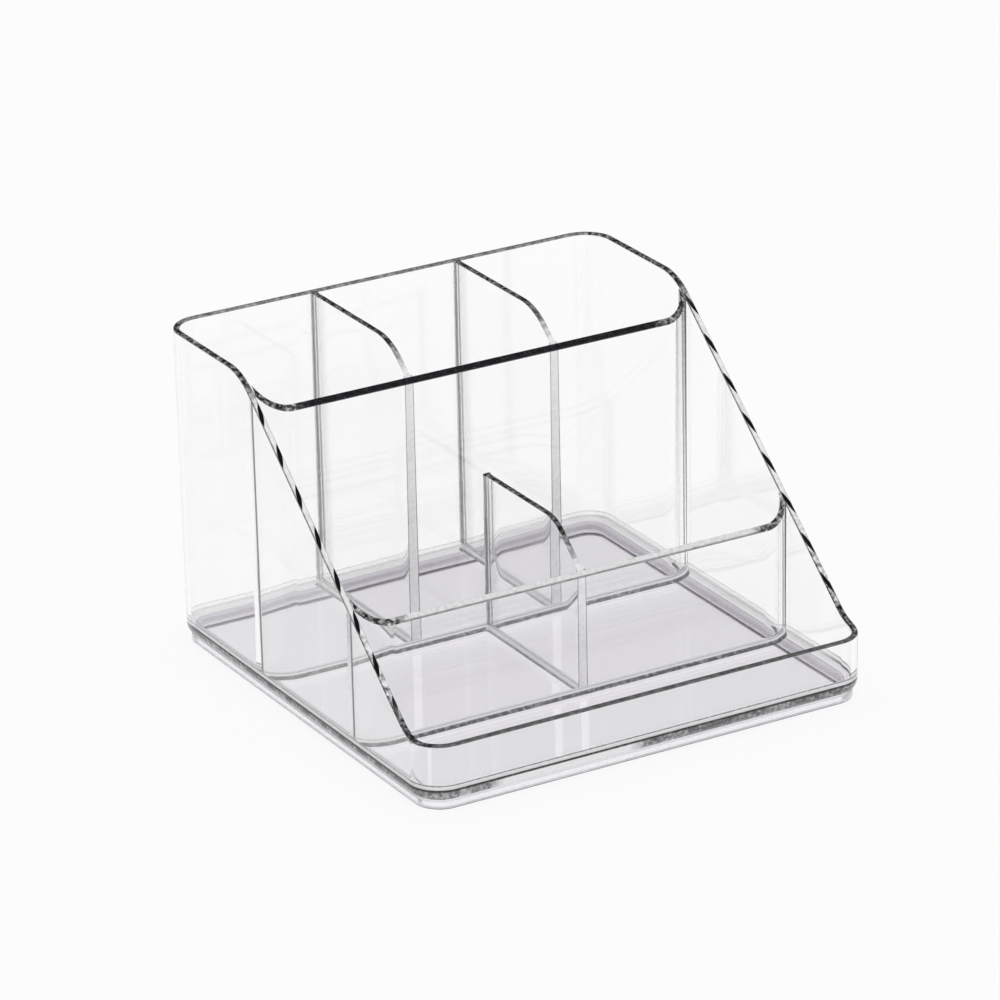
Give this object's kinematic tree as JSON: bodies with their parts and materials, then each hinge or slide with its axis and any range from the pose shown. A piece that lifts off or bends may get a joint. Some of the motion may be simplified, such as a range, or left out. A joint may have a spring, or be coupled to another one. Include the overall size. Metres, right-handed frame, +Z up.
{
  "type": "makeup organizer tray",
  "caption": "Clear open-top desktop organizer: tall pockets at the back, lower pockets in the middle and a shallow tray behind a low front lip.",
  "frame": {"origin": "middle of the plan outline, on the face that the tray rests on", "axes": "+Z up, +Y towards the tall back wall, +X to the right seen from the front"},
  "size_m": [0.235, 0.2395, 0.157],
  "materials": {
    "clear_wall": "clear, smooth, glossy moulded plastic with a very faint cool tint",
    "clear_base": "clear, smooth, glossy moulded plastic, greyer where it is thick"
  },
  "bodies": {
    "root": {"outer_shell": "clear_wall", "floor_plate": "clear_base", "foot_ring": "clear_base", "rear_cross_wall": "clear_wall", "front_cross_wall": "clear_wall", "left_rear_divider": "clear_wall", "right_rear_divider": "clear_wall", "front_divider": "clear_wall"}
  },
  "joints": []
}
